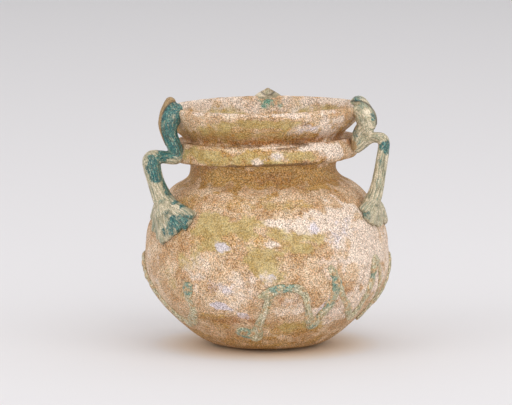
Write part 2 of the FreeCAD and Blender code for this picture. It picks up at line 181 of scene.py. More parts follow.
# Hand-blown lean: the neck sits a little to the left, and the collar and rim tip down to that side.
# Each place is a height, a shift to the right in millimetres and a tilt in degrees.
lean = [(50, 0, 0), (60, -0.5, -0.5), (69, -1.3, -1.4), (76, -0.4, -1.7), (81, -0.6, -1.6), (93, -0.6, -0.8)]

# The funnel stands out a little beside the left handle
swelling = {"place": (-33.0, -3.0, 84.2), "size": 9.0, "push": 1.7}


def leanPiece(piece):
    for vertex in piece.data.vertices:
        away = (vertex.co / mm - Vector(swelling["place"])).length / swelling["size"]
        vertex.co.x -= swelling["push"] * (1 - smoothStep(0, 1, away)) * mm
        height = vertex.co.z / mm
        shift, tilt = (0, 0) if height < lean[0][0] else lean[-1][1:]
        for low, high in zip(lean[:-1], lean[1:]):
            if low[0] <= height < high[0]:
                share = smoothStep(low[0], high[0], height)
                shift = blend(low[1], high[1], share)
                tilt = blend(low[2], high[2], share)
        vertex.co.z -= vertex.co.x * math.sin(math.radians(tilt))
        vertex.co.x += shift * mm


# Handles: each rod is drawn in the handle's own upright plane, as reach, sideways, height and thickness, and
# is turned to its angle. From the ankle the glass runs out over the shoulder in a web of toes, each tip given
# as turn from that plane, height and thickness.

handles = {
    "left": {
        "node": "handle_left",
        "angle": 205,
        "rod": [
            (40.6, 0, 52.6, 8.2), (42.8, 0, 56.6, 8.4), (44.6, 0, 60.4, 7.4), (46.2, 0, 64.2, 6.6),
            (47.4, 0, 67.8, 6.5), (48.4, 0, 71.4, 6.9), (48.8, 0, 74.6, 6.9), (45.8, 0, 75.2, 5.3),
            (43.0, 0, 74.9, 4.8), (40.4, 0, 74.5, 4.9), (37.8, 0, 74.4, 5.3), (38.2, 0, 77.2, 5.8),
            (39.5, 0, 80.2, 5.7), (40.7, 0, 83.6, 5.5), (41.1, 0, 86.6, 6.1), (40.2, 0, 89.4, 7.4),
            (39.1, 0, 91.6, 7.4), (37.7, 0, 92.6, 6.4), (36.2, 0, 92.6, 4.8),
        ],
        "fold": [
            (38.4, -1.2, 95.0, 1.8), (39.0, -1.4, 96.2, 2.2), (40.0, -1.5, 96.8, 2.6),
            (41.3, -1.6, 95.2, 2.4), (42.8, -1.6, 92.6, 2.0), (43.9, -1.6, 89.8, 1.6),
            (44.3, -1.4, 86.6, 1.4), (43.2, -1.1, 82.8, 1.4), (41.8, -0.8, 79.4, 1.2),
        ],
        "foldWidth": 1.5,
        "foldDroop": 0,
        "ankle": (1, 58.6, 3.8, 6.0),
        "tips": [
            (24.8, 53.0, 5.4), (23.8, 50.3, 4.8), (18.8, 48.0, 4.4), (14.6, 45.4, 4.2), (10.2, 43.1, 4.9),
            (5.4, 43.9, 3.8), (-1.4, 46.2, 4.2), (-6.2, 48.8, 3.4), (-11.6, 50.6, 4.2),
            (-17.0, 52.4, 3.4),
        ],
    },
    "right": {
        "node": "handle_right",
        "angle": 337,
        "rod": [
            (41.2, 0, 53.0, 7.0), (43.4, 0, 56.8, 6.8), (45.0, 0, 60.4, 5.8), (46.1, 0, 64.2, 5.1),
            (46.9, 0, 68.6, 4.8), (47.7, 0, 73.6, 4.6), (48.7, 0, 79.0, 4.5), (48.4, 0, 82.3, 4.4),
            (45.0, 0, 82.6, 4.0), (42.0, 0, 81.6, 4.0), (39.8, 0, 79.6, 4.2), (36.8, 0, 77.8, 4.4),
        ],
        "bow": [
            (36.8, 0, 77.2, 4.2), (37.4, 0, 79.2, 4.9), (37.8, 0, 81.4, 5.5), (38.9, 0, 84.2, 5.9),
            (41.3, 0, 86.5, 7.0), (41.7, 0, 89.0, 8.4), (40.4, 0, 91.2, 8.4), (38.6, 0, 92.6, 7.4),
            (36.6, 0, 93.2, 5.4),
        ],
        "fold": [
            (36.0, 0, 95.2, 2.6), (37.2, 0, 96.7, 3.0), (38.9, 0, 96.8, 2.8), (41.3, 0, 95.2, 1.9),
            (43.3, 0, 92.6, 1.7), (44.8, 0, 89.8, 1.6), (45.0, 0, 87.4, 1.3),
        ],
        "foldWidth": 2.2,
        "foldDroop": 0,
        "ankle": (2, 58.0, 3.4, 5.0),
        "tips": [
            (-8.0, 54.2, 4.0), (-8.2, 51.0, 4.0), (-5.2, 49.4, 4.2), (-1.4, 48.8, 3.4), (3.0, 48.0, 4.2),
            (6.6, 49.0, 3.4), (15.4, 49.0, 3.4), (19.4, 48.4, 4.0), (22.6, 50.6, 3.8), (23.4, 54.0, 3.6),
        ],
    },
    "back": {
        "node": "handle_back",
        "angle": 89,
        "rod": [
            (41.0, 0, 53.0, 7.6), (43.2, 0, 56.8, 7.4), (44.8, 0, 60.6, 6.5), (46.2, 0, 64.6, 5.9),
            (47.4, 0, 69.0, 5.7), (48.8, 0, 74.0, 5.7), (49.6, 0, 78.4, 5.5), (46.2, 0, 79.4, 4.8),
            (42.8, 0, 78.4, 4.5), (39.8, 0, 76.6, 4.6), (36.8, 0, 75.0, 5.2), (37.8, 0, 79.0, 5.6),
            (39.8, 0, 82.8, 5.8), (41.6, 0, 86.2, 6.4), (41.2, 0, 89.2, 7.2), (39.4, 0, 91.0, 7.0),
            (37.4, 0, 91.8, 5.4), (35.8, 0, 92.2, 3.6),
        ],
        "fold": [
            (35.6, 0, 94.6, 1.3), (37.4, 0, 96.2, 1.3), (39.6, 0, 96.2, 1.3), (42.0, 0, 94.8, 1.4),
            (44.0, 0, 92.0, 1.4), (44.8, 0, 88.8, 1.3),
        ],
        "foldWidth": 8.6,
        "foldDroop": 0.52,
        "ankle": (0, 58.4, 3.6, 5.4),
        "tips": [
            (-16.4, 52.4, 3.6), (-13.0, 50.4, 4.0), (-8.6, 47.6, 4.4), (-1.6, 45.8, 4.0),
            (2.4, 45.8, 4.2), (9.6, 48.2, 4.2), (13.4, 50.6, 3.4), (16.8, 53.2, 4.0),
        ],
    },
    "spacing": 0.5,
    "sides": 10,
    "voxel": 0.36,
    "smoothings": 3,
    "grooves": {"coarse": 2, "fine": 5, "fineShare": 0.4, "depth": 0.12, "stretchShare": 0.07},
    # How wide the painted shadow along the fold's seam is, which also softens the fold's edge, and the height
    # it starts above
    "seamShade": 0.5,
    "seamShadeBottom": 80,
    "contactShade": (0.18, 0.9),      # off the jar's skin, between these heights, the painted shade line where the piece meets the jar fades
    # How far along a toe goes, as turn and height shares, and its lift off the skin there in millimetres
    "toeShares": [(0.3, 0.34, 2.9), (0.66, 0.66, 1.1), (0.88, 0.88, 0.3), (1, 1, 0)],
}


# A round rod along a line of points in millimetres, each with its own thickness
def drawRod(name, line, sides):
    curve = bpy.data.curves.new(name, "CURVE")
    curve.dimensions = "3D"
    curve.bevel_depth = 1
    curve.bevel_resolution = sides
    curve.use_fill_caps = True
    run = curve.splines.new("POLY")
    run.points.add(len(line) - 1)
    for spot, point in zip(run.points, line):
        spot.co = (point.x * mm, point.y * mm, point.z * mm, 1)
        spot.radius = point.w * mm / 2
    rod = bpy.data.objects.new(name, curve)
    bpy.context.scene.collection.objects.link(rod)
    pick(rod)
    bpy.ops.object.convert(target="MESH")
    return bpy.context.object


# Every centre line of a handle, in the jar's own frame
def handleLines(own):
    turn = Matrix.Rotation(math.radians(own["angle"]), 4, "Z")
    lines = {}
    for name in ("rod", "bow", "fold"):
        if name in own:
            line = splinePoints(own[name], handles["spacing"])
            lines[name] = [(turn @ point.xyz.to_4d()).xyz.to_4d() for point in line]
            for point, before in zip(lines[name], line):
                point.w = before.w
    ankleTurn, ankleHeight, ankleLift, ankleThickness = own["ankle"]
    for index, (tipTurn, tipHeight, tipThickness) in enumerate(own["tips"]):
        start = skinPoint(own["angle"] + ankleTurn + 90, ankleHeight, ankleLift)
        controls = [(start.x, start.y, start.z, ankleThickness)]
        for turnShare, heightShare, lift in handles["toeShares"]:
            height = blend(ankleHeight, tipHeight, heightShare)
            spot = skinPoint(own["angle"] + blend(ankleTurn, tipTurn, turnShare) + 90, height, lift)
            controls.append((spot.x, spot.y, spot.z, blend(ankleThickness, tipThickness, heightShare)))
        lines[f"toe{index}"] = splinePoints(controls, handles["spacing"])
    return lines


# Widens a folded strip sideways to the handle's plane, and lets its sides droop from the middle
def widen(piece, own):
    turn = Matrix.Rotation(math.radians(own["angle"]), 3, "Z")
    middle = own["fold"][2][1] * mm
    for vertex in piece.data.vertices:
        place = turn.inverted() @ vertex.co
        place.y = middle + (place.y - middle) * own["foldWidth"]
        place.z -= abs(place.y - middle) * own["foldDroop"]
        vertex.co = turn @ place


# A search tree of the spots along the named lines, each with its place, direction, way along and thickness
def linesTree(lines, names):
    spots = []
    for name in names:
        travelled = 0
        for before, point in zip(lines[name][:-1], lines[name][1:]):
            step = point.xyz - before.xyz
            travelled += step.length
            spots.append((before.xyz * mm, step.normalized(), travelled, before.w))
    tree = kdtree.KDTree(len(spots))
    for index, spot in enumerate(spots):
        tree.insert(spot[0], index)
    tree.balance()
    return tree, spots


def storeValues(piece, name, values):
    piece.data.attributes.new(name, "FLOAT", "POINT").data.foreach_set("value", values)


# Gives each point of the surface its place along and round the nearest rod, so that grooves and streaks
# follow the glass as it was drawn out, and cuts those grooves
def grainAlong(piece, lines):
    tree, spots = linesTree(lines, lines)
    grooves = handles["grooves"]
    normals = [vertex.normal.copy() for vertex in piece.data.vertices]
    grains = []
    sunk = []
    for vertex, normal in zip(piece.data.vertices, normals):
        centre, along, travelled, thickness = spots[tree.find(vertex.co)[1]]
        across = vertex.co - centre
        across -= along * across.dot(along)
        across.normalize()
        spot = across * thickness / 2 + along * travelled * grooves["stretchShare"]
        coarse = noise.noise(spot * grooves["coarse"])
        fine = noise.noise(spot * grooves["fine"])
        depth = coarse + grooves["fineShare"] * fine
        vertex.co += normal * depth * grooves["depth"] * mm
        grains.extend(spot)
        sunk.append(-depth)
    piece.data.attributes.new("grain", "FLOAT_VECTOR", "POINT").data.foreach_set("vector", grains)
    storeValues(piece, "groove", sunk)


# How far a place lies outside the surface of the nearest line, in millimetres
def outOf(tree, spots, place):
    index, away = tree.find(place)[1:]
    return away / mm - spots[index][3] / 2


# Stores where the folded end lies, and the painted shadow along the seam where it is pressed on the rod
def markFold(piece, lines):
    foldTree, foldSpots = linesTree(lines, ["fold"])
    rodTree, rodSpots = linesTree(lines, [name for name in lines if name != "fold"])
    folds = []
    seamShades = []
    for vertex in piece.data.vertices:
        foldOut = outOf(foldTree, foldSpots, vertex.co)
        rodOut = outOf(rodTree, rodSpots, vertex.co)
        folds.append(smoothStep(-handles["seamShade"], handles["seamShade"], rodOut - foldOut))
        near = 1 - smoothStep(0, handles["seamShade"], abs(rodOut - foldOut))
        nearestRod = rodTree.find(vertex.co)[0]
        seamShades.append(near if nearestRod.z > handles["seamShadeBottom"] * mm else 0)
    storeValues(piece, "fold", folds)
    storeValues(piece, "seamShade", seamShades)


# Stores the painted shade line, darker where the piece meets the jar's skin
def markContactShade(piece, fade):
    values = []
    for vertex in piece.data.vertices:
        proud = math.hypot(vertex.co.x, vertex.co.y) / mm - skinReach(vertex.co.z / mm)
        values.append(1 - smoothStep(*fade, proud))
    storeValues(piece, "contactShade", values)


def makeHandle(name):
    own = handles[name]
    lines = handleLines(own)
    rods = []
    for part, line in lines.items():
        rod = drawRod(f"{name}{part}", line, handles["sides"])
        if part == "fold":
            widen(rod, own)
        rods.append(rod)
    pick(*rods)
    bpy.ops.object.join()
    piece = bpy.context.object
    piece.name = f"{name}Handle"
    finishWith(piece, "REMESH", mode="VOXEL", voxel_size=handles["voxel"] * mm)
    finishWith(piece, "SMOOTH", factor=0.5, iterations=handles["smoothings"])
    grainAlong(piece, lines)
    markFold(piece, lines)
    markContactShade(piece, handles["contactShade"])
    bpy.ops.object.shade_smooth()
    return piece


# The thread: degrees from the front towards the right, height and width in millimetres

thread = {
    "places": [
        (-19.0, 9.4, 3.0), (-15.6, 10.4, 4.6), (-11.0, 9.6, 5.6), (-6.4, 8.0, 4.8), (-5.4, 12.0, 3.2),
        (-3.2, 15.4, 2.7), (-0.8, 19.0, 2.6), (0.6, 23.0, 3.0), (1.2, 26.6, 3.6), (5.0, 28.3, 3.2),
        (10.0, 28.4, 3.1), (15.0, 28.2, 3.0), (18.4, 25.4, 2.7), (20.4, 20.6, 2.6), (23.4, 16.0, 2.7),
        (27.0, 11.4, 3.2), (29.0, 12.6, 3.2), (29.4, 16.6, 3.4), (32.4, 20.4, 3.5), (34.0, 26.0, 3.6),
        (33.6, 31.0, 3.5), (29.6, 36.4, 3.0), (32.6, 33.2, 2.4), (36.0, 27.4, 2.8), (39.6, 23.0, 2.7),
        (45.6, 19.6, 2.7), (53.0, 14.6, 3.2), (57.8, 13.4, 3.2), (57.0, 19.0, 3.0), (57.2, 25.0, 3.0),
        (58.8, 31.0, 3.6), (60.4, 37.4, 3.6), (64.6, 34.4, 2.2), (67.6, 27.0, 2.0), (71.5, 19.0, 2.0),
        (74.5, 12.0, 2.4), (78.0, 12.2, 3.0), (82.0, 22.0, 2.8), (88.5, 34.6, 3.0), (93.5, 34.6, 3.0),
        (101.0, 22.0, 2.8), (107.5, 10.6, 3.0), (112.5, 10.6, 3.0), (119.0, 22.0, 2.8),
        (124.6, 36.0, 3.0), (129.4, 36.0, 3.0), (136.0, 24.0, 2.8), (142.6, 12.6, 3.0),
        (147.4, 12.6, 3.0), (154.0, 22.0, 2.8), (160.6, 33.6, 3.0), (165.4, 33.6, 3.0),
        (171.0, 24.0, 2.8), (177.6, 11.6, 3.0), (182.4, 11.6, 3.0), (189.0, 24.0, 2.8),
        (195.6, 36.6, 3.0), (200.4, 36.6, 3.0), (206.0, 24.0, 2.8), (212.6, 11.2, 3.0),
        (217.4, 11.2, 3.0), (224.0, 22.0, 2.8), (230.6, 34.2, 3.0), (235.4, 34.2, 3.0),
        (241.0, 24.0, 2.8), (247.6, 12.2, 3.0), (252.4, 12.2, 3.0), (258.0, 24.0, 2.8),
        (263.6, 34.0, 3.0), (269.0, 35.0, 3.0), (277.0, 31.0, 3.0), (286.0, 26.4, 3.2),
        (291.6, 21.4, 3.0), (295.0, 17.0, 2.8), (299.0, 12.6, 3.2), (307.0, 11.6, 4.0),
        (314.6, 14.4, 3.8), (319.4, 19.0, 3.0), (319.2, 23.6, 3.2), (320.4, 27.0, 4.4),
        (321.0, 29.4, 4.6),
    ],
    "nub": [(-4.0, 24.6, 2.4), (-1.6, 25.8, 3.2), (1.6, 27.0, 3.4), (5.0, 27.8, 3.0)],
    "spacing": 0.5,
    "sides": 8,
    "widthScale": 1.1,
    "wander": {"size": 2.2, "share": 0.35},
    "proudShare": 0.56,
    # Off the skin, between these heights, the painted shade line where the thread meets the jar fades
    "contactShade": (0.07, 0.35),
    "sunkShare": 0.55,
    "voxel": 0.32,
    "smoothings": 3,
}


def makeThread():
    lines = {}
    for part in ("places", "nub"):
        controls = []
        for azimuth, height, width in thread[part]:
            spot = skinPoint(azimuth, height)
            controls.append((spot.x, spot.y, spot.z, width * thread["widthScale"]))
        lines[part] = splinePoints(controls, thread["spacing"])
        for point in lines[part]:     # back onto the skin, which a straight leg cuts under
            point.xy = point.xy.normalized() * skinReach(point.z)
            point.w *= 1 + thread["wander"]["share"] * noise.noise(point.xyz / thread["wander"]["size"])
    pick(*[drawRod(part, line, thread["sides"]) for part, line in lines.items()])
    bpy.ops.object.join()
    piece = bpy.context.object
    piece.name = "zigzagThread"
    finishWith(piece, "REMESH", mode="VOXEL", voxel_size=thread["voxel"] * mm)
    finishWith(piece, "SMOOTH", factor=0.5, iterations=thread["smoothings"])
    grainAlong(piece, lines)
    for vertex in piece.data.vertices:     # pressed flat while hot
        height = vertex.co.z / mm
        out = Vector((vertex.co.x, vertex.co.y, 0))
        proud = out.length / mm - skinReach(height)
        share = thread["proudShare"] if proud > 0 else thread["sunkShare"]
        vertex.co += out.normalized() * (share - 1) * proud * mm
    markContactShade(piece, thread["contactShade"])
    bpy.ops.object.shade_smooth()
    return piece


# Painted masks: soft spots, each as degrees from the front, height, half width, half height and
# strength. A spot fades between these shares of its size.

spotEdge = (0.45, 1.25)


# How strongly a place lies in any of the spots, with a ragged edge
def spotMask(azimuth, height, spots, wander, size):
    total = 0
    for spotAzimuth, spotHeight, halfWidth, halfHeight, strength in spots:
        turn = (azimuth - spotAzimuth + fullTurn / 2) % fullTurn - fullTurn / 2
        across = math.radians(turn) * size / halfWidth
        up = (height - spotHeight) / halfHeight
        total = max(total, strength * (1 - smoothStep(*spotEdge, math.hypot(across, up) + wander)))
    return total


paint = {
    "olive": [
        (-27, 52.6, 9, 4.4, 0.9), (-19, 50.4, 12, 4.8, 1.0), (-30, 48.4, 7, 4.8, 0.85),
        (-10, 52.6, 8, 2.8, 0.75), (-24, 44.0, 8, 3.6, 0.85), (14, 47.6, 10, 3.4, 1.0),
        (6, 49.0, 6, 2.8, 0.85), (23, 46.6, 5, 2.4, 0.75), (15, 43.8, 7, 2.8, 0.85),
        (-3, 40.8, 7, 5.2, 0.95), (-2, 35.2, 6, 4.6, 0.9), (4, 33, 7, 3, 0.65), (-37, 37, 5, 5, 0.55),
        (0, 89, 24, 2.2, 0.8), (-34, 86, 12, 4, 0.6), (-4, 85, 18, 2.0, 0.55), (4, 58.6, 18, 2.0, 0.4),
        (-2, 77, 18, 2.6, 0.7), (-40, 77, 14, 3.4, 0.9), (-18, 76, 12, 3.0, 0.7),
        (5, 74.5, 16, 1.4, 0.75), (24, 76, 8, 2.0, 0.5), (30, 13, 9, 3.5, 0.7), (-45, 24, 6, 5, 0.4),
        (12, 12, 9, 3.5, 0.6), (-52, 30, 7, 6, 0.4), (120, 48, 18, 7, 0.8), (150, 40, 14, 8, 0.7),
        (200, 50, 20, 7, 0.8), (235, 42, 12, 8, 0.7), (100, 76, 16, 4, 0.7), (170, 76, 20, 3, 0.7),
        (230, 76, 14, 3, 0.7), (140, 89, 20, 3, 0.7), (215, 88, 20, 3, 0.7), (175, 28, 14, 6, 0.5),
    ],
    # Golden glass showing through; the band round the neck under the collar is also painted shade
    "goldAndShade": [
        (0, 68.5, 90, 6.0, 1.0), (120, 68.5, 90, 6.0, 1.0), (240, 68.5, 90, 6.0, 1.0),
        (0, 84.6, 90, 4.2, 0.65), (120, 84.6, 90, 4.2, 0.8), (240, 84.6, 90, 4.2, 0.8),
        (0, 4.0, 60, 5.0, 0.6), (90, 4.0, 60, 5.0, 0.6), (180, 4.0, 60, 5.0, 0.6),
        (270, 4.0, 60, 5.0, 0.6), (-30, 13, 12, 4, 0.6), (20, 10, 16, 3.5, 0.7), (-10, 60, 16, 3, 0.45),
        (-50, 58, 10, 4, 0.5), (-30, 77, 24, 4.0, 0.7), (0, 74, 30, 1.8, 0.8), (-25, 47, 16, 6, 0.5),
        (8, 43, 16, 7, 0.5), (0, 58.6, 26, 3.0, 0.5), (-4, 76.4, 28, 3.4, 0.9), (24, 86, 12, 4, 0.5),
        (-44, 84, 10, 5, 0.7),
    ],
    # Pale crust; the thin rings along the rim and the collar's top edge are also painted highlight
    "paleAndHighlight": [
        (38, 52, 16, 8, 0.9), (54, 44, 14, 12, 0.85), (60, 30, 16, 10, 0.75), (22, 51, 9, 4, 0.65),
        (30, 36, 7, 6, 0.55), (-10, 27, 20, 8, 0.45), (-35, 34, 8, 8, 0.5), (14, 22, 10, 5, 0.5),
        (30, 79.4, 16, 1.8, 0.75), (46, 77.6, 10, 3.4, 0.85), (-30, 92.6, 30, 1.2, 0.5),
        (22, 92.4, 30, 1.3, 0.6), (52, 84, 12, 5, 0.6), (46, 17, 10, 6, 0.6), (40, 88, 12, 4.5, 0.7),
        (20, 86, 7, 3, 0.5), (12, 80.3, 22, 1.0, 0.5), (5, 52.6, 8, 2.0, 0.8), (33, 17, 10, 5, 0.65),
        (6, 76, 6, 2.6, 0.65), (-6, 74.6, 5, 1.6, 0.6), (2, 44.6, 5, 1.8, 0.8), (75, 38, 12, 12, 0.7),
        (-70, 30, 12, 12, 0.4), (48, 22, 8, 6, 0.6), (110, 34, 20, 10, 0.7), (190, 34, 20, 9, 0.7),
        (250, 46, 18, 10, 0.7), (130, 78, 20, 4, 0.7), (210, 78, 18, 4, 0.7), (180, 90, 40, 4, 0.6),
        (120, 92.6, 40, 1.5, 0.8), (240, 92.6, 40, 1.5, 0.8),
    ],
    "pearl": [
        (-20.5, 43.6, 4.2, 3.2, 1.0), (-25, 21.0, 4.6, 1.7, 0.9), (-19, 19.6, 3.4, 1.4, 0.8),
        (-12, 17.0, 3.4, 1.8, 0.7), (30, 19, 3, 3, 0.5), (24, 49.5, 4, 3, 0.6), (34, 44, 4, 4, 0.4),
        (-24, 28, 7, 4, 0.4), (0, 31.5, 5, 3, 0.4), (27, 87, 6, 2.0, 0.55), (4, 76.5, 5, 2.0, 0.5),
        (40, 50, 8, 5, 0.35), (33, 25, 2, 4, 0.6), (100, 44, 6, 4, 0.6), (160, 30, 8, 4, 0.7),
        (215, 24, 8, 4, 0.6), (270, 40, 6, 6, 0.5),
    ],
    # Rust-brown crust; the bands round the funnel's foot and the jar's foot, and the spots on the neck, are
    # painted shade in those recesses
    "rustAndShade": [
        (0, 81.6, 60, 1.3, 0.85), (-14, 15.0, 14, 2.6, 0.6), (0, 1.2, 40, 1.2, 0.4),
        (-60, 70, 14, 4, 0.5), (38, 18, 8, 5, 0.5), (62, 53.5, 9, 3.5, 0.4), (-32, 60, 14, 3, 0.4),
        (42, 27, 4, 4, 0.6), (8, 24, 5, 3, 0.5), (66, 80.5, 8, 3, 0.8), (10, 67, 22, 2.4, 0.45),
        (90, 1.2, 40, 1.2, 0.4), (180, 1.2, 60, 1.2, 0.4), (270, 1.2, 40, 1.2, 0.4),
        (-40, 13, 10, 4, 0.3), (120, 81.6, 60, 1.3, 0.85), (240, 81.6, 60, 1.3, 0.85),
        (140, 18, 16, 5, 0.5), (230, 16, 16, 5, 0.5),
    ],
    "teal": [(179, 91.0, 7.0, 1.5, 0.9)],
    # Painted shade: dark lines in the creases round the collar and the foot, and one on the rim
    "creaseShade": [
        (-22, 73.2, 14, 0.9, 0.9), (6, 73.2, 16, 0.9, 0.95), (30, 73.4, 10, 0.9, 0.6),
        (13, 79.6, 6, 0.9, 0.8), (23, 80.4, 6, 0.8, 0.7), (-16, 80.6, 14, 0.8, 0.45),
        (-4, 91.2, 9, 0.8, 0.6), (0, 0.6, 60, 0.9, 0.6), (90, 0.6, 60, 0.9, 0.6),
        (180, 0.6, 60, 0.9, 0.6), (270, 0.6, 60, 0.9, 0.6), (100, 73.2, 20, 0.9, 0.8),
        (160, 73.2, 20, 0.9, 0.8), (220, 73.2, 20, 0.9, 0.8), (130, 80.4, 12, 0.8, 0.6),
        (205, 80.4, 12, 0.8, 0.6),
    ],
    "wander": {"size": 5.0, "depth": 0.7, "step": 9, "octaves": 4},
    "reach": 44,
}


# How far a mask's edge wanders at a place, in ragged clouds, which are others for each mask
def wanderAt(place, own, index):
    clouds = place / own["size"] + Vector((own["step"] * index, 0, 0))
    return own["depth"] * noise.fractal(clouds, 1, 2, own["octaves"])


# Stores the listed masks on the jar's points
def paintJar(piece):
    for index, name in enumerate(("olive", "goldAndShade", "paleAndHighlight", "pearl", "rustAndShade", "teal", "creaseShade")):
        values = []
        for vertex in piece.data.vertices:
            place = vertex.co / mm
            azimuth = math.degrees(math.atan2(place.x, -place.y))
            wander = wanderAt(place, paint["wander"], index)
            values.append(spotMask(azimuth, place.z, paint[name], wander, paint["reach"]))
        storeValues(piece, name, values)


# On the handles each spot is a reach, a way sideways and a height in the handle's plane, a size and a
# strength. On the thread it is degrees from the front, a height, a size and a strength.

rodPaint = {
    "left": {
        "teal": [
            (41, 1, 86, 7.5, 1.0), (39.5, 1, 79, 6, 1.0), (39.5, 1, 92, 6.5, 1.0),
            (44.4, 1.6, 75.4, 3.6, 0.9), (48.8, 2.4, 73.2, 3.4, 1.0), (48.4, 2.5, 70.4, 3.4, 1.0),
            (47.6, 2.6, 67.2, 2.8, 0.9), (44.2, 2.4, 64.4, 2.4, 0.9), (43.2, 3.0, 61.4, 2.4, 0.9),
            (42.6, 4.2, 58.8, 2.4, 1.0), (42.4, 8.6, 57.0, 2.4, 1.0), (40.8, 13.0, 56.2, 2.2, 0.9),
            (44.4, 8.6, 53.4, 2.8, 0.7), (43.6, 11.6, 50.6, 4.8, 1.0), (42.4, 15.4, 51.2, 4.4, 1.0),
            (40.6, 17.2, 53.4, 2.6, 0.8), (45.6, 8.4, 47.6, 2.6, 0.9), (46.6, 6.6, 43.6, 2.2, 0.9),
            (46.4, 3.2, 54.6, 1.8, 0.5),
        ],
        "tan": [(44.0, -2.6, 84, 1.6, 0.6), (46.6, -1.6, 62, 3.0, 0.4)],
        "foldShare": 1.0,
    },
    "right": {
        "teal": [
            (50.2, -1, 79.0, 3.0, 0.9), (48.0, -2.4, 73, 2.6, 0.4), (43, -6, 53, 3.4, 0.5),
            (38.4, -2, 98.0, 2.8, 0.6), (44.6, -2, 90.4, 2.2, 0.6), (37.8, -3, 85, 2.8, 0.5),
            (40.6, -4, 88.8, 2.6, 0.35), (47.0, -2.4, 66, 2.4, 0.35),
        ],
        "tan": [(36.6, -2, 87, 2.4, 0.7), (36.4, -2, 79.4, 2.6, 0.8), (36.4, -3, 91, 2.4, 0.6)],
        "foldShare": 0.0,
    },
    "back": {
        "teal": [(42, 0, 86, 5, 0.7), (47, 0, 68, 6, 0.5), (42, 6, 52, 5, 0.6), (50, 0, 78, 4, 0.6)],
        "tan": [(40, 0, 97.5, 5, 0.8), (45, 0, 92, 4, 0.6)],
        "foldShare": 0.4,
    },
    "thread": {
        "teal": [
            (-14, 8.5, 4, 1.0), (3, 29, 3, 0.8), (10, 30, 4, 0.7), (-5, 20, 3, 0.5), (31.5, 29, 4, 0.9),
            (30, 22, 4, 0.6), (-39, 27, 3, 1.0), (28, 12, 3, 0.5), (56, 30, 3, 0.6), (278, 22, 4, 0.8),
            (100, 22, 4, 0.5), (145, 14, 4, 0.6), (197, 34, 4, 0.7), (240, 24, 4, 0.6),
        ],
        "wander": {"size": 3, "depth": 0.4, "step": 7, "octaves": 3},
        "reach": 46,
    },
    "wander": {"size": 3, "depth": 0.45, "step": 7, "octaves": 3},
    "edge": (0.4, 1.2),
}


# Stores where the rod's own blue-green shows, and where it is crusted over
def paintRod(piece, name):
    turn = Matrix.Rotation(-math.radians(handles[name]["angle"]), 3, "Z")
    folds = [0.0] * len(piece.data.vertices)
    piece.data.attributes["fold"].data.foreach_get("value", folds)
    for index, mask in enumerate(("teal", "tan")):
        values = []
        for vertex, fold in zip(piece.data.vertices, folds):
            place = turn @ (vertex.co / mm)
            wander = wanderAt(place, rodPaint["wander"], index)
            total = 0
            for reach, sideways, height, size, strength in rodPaint[name][mask]:
                away = (place - Vector((reach, sideways, height))).length / size
                total = max(total, strength * (1 - smoothStep(*rodPaint["edge"], away + wander)))
            folded = fold * rodPaint[name]["foldShare"]
            values.append(max(total, folded) if mask == "tan" else total * (1 - folded))
        storeValues(piece, mask, values)


def paintThread(piece):
    own = rodPaint["thread"]
    spots = [(azimuth, height, size, size, strength) for azimuth, height, size, strength in own["teal"]]
    values = []
    for vertex in piece.data.vertices:
        place = vertex.co / mm
        azimuth = math.degrees(math.atan2(place.x, -place.y))
        wander = wanderAt(place, own["wander"], 0)
        values.append(spotMask(azimuth, place.z, spots, wander, own["reach"]))
    storeValues(piece, "teal", values)


# Materials. Each noise is a scale, a detail and a roughness.

glossRoughness = 0.2

# A colour written as on a screen, such as c1a885
def tint(code):
    shades = [int(code[start:start + 2], 16) / 255 for start in (0, 2, 4)]
    linear = [shade / 12.92 if shade <= 0.04045 else ((shade + 0.055) / 1.055) ** 2.4 for shade in shades]
    return (*linear, 1)


# A node tree with short ways to add and join nodes
class Board:
    def __init__(self, tree):
        self.tree = tree

    def add(self, kind, links=None, **settings):
        node = self.tree.nodes.new(kind)
        for name, value in settings.items():
            setattr(node, name, value)
        for name, value in (links or {}).items():
            socket = node.inputs[name]
            if isinstance(value, bpy.types.NodeSocket):
                self.tree.links.new(value, socket)
            else:
                socket.default_value = value
        return node

    def noise(self, vector, scale, detail, roughness):
        return self.add("ShaderNodeTexNoise", {"Vector": vector, "Scale": scale, "Detail": detail,
                                               "Roughness": roughness}).outputs["Fac"]

    def ramp(self, value, low, high, bottom=0, top=1):
        return self.add("ShaderNodeMapRange", {"Value": value, "From Min": low, "From Max": high,
                                               "To Min": bottom, "To Max": top}).outputs["Result"]

    def math(self, operation, first, second):
        return self.add("ShaderNodeMath", {0: first, 1: second}, operation=operation).outputs[0]

    def mix(self, share, first, second):
        node = self.add("ShaderNodeMix", {"Factor": share}, data_type="RGBA")
        for name, value in (("A", first), ("B", second)):
            socket = [one for one in node.inputs if one.name == name and one.type == "RGBA"][0]
            if isinstance(value, bpy.types.NodeSocket):
                self.tree.links.new(value, socket)
            else:
                socket.default_value = value
        return [one for one in node.outputs if one.type == "RGBA"][0]

    def mask(self, name):
        return self.add("ShaderNodeAttribute", attribute_name=name).outputs["Fac"]


def newGroup(name, inputs, outputs):
    group = bpy.data.node_groups.new(name, "ShaderNodeTree")
    for title, kind, value in inputs:
        socket = group.interface.new_socket(title, in_out="INPUT", socket_type=kind)
        if value is not None:
            socket.default_value = value
    for title, kind in outputs:
        group.interface.new_socket(title, in_out="OUTPUT", socket_type=kind)
    board = Board(group)
    source = group.nodes.new("NodeGroupInput")
    target = group.nodes.new("NodeGroupOutput")
    return group, board, source.outputs, target.inputs


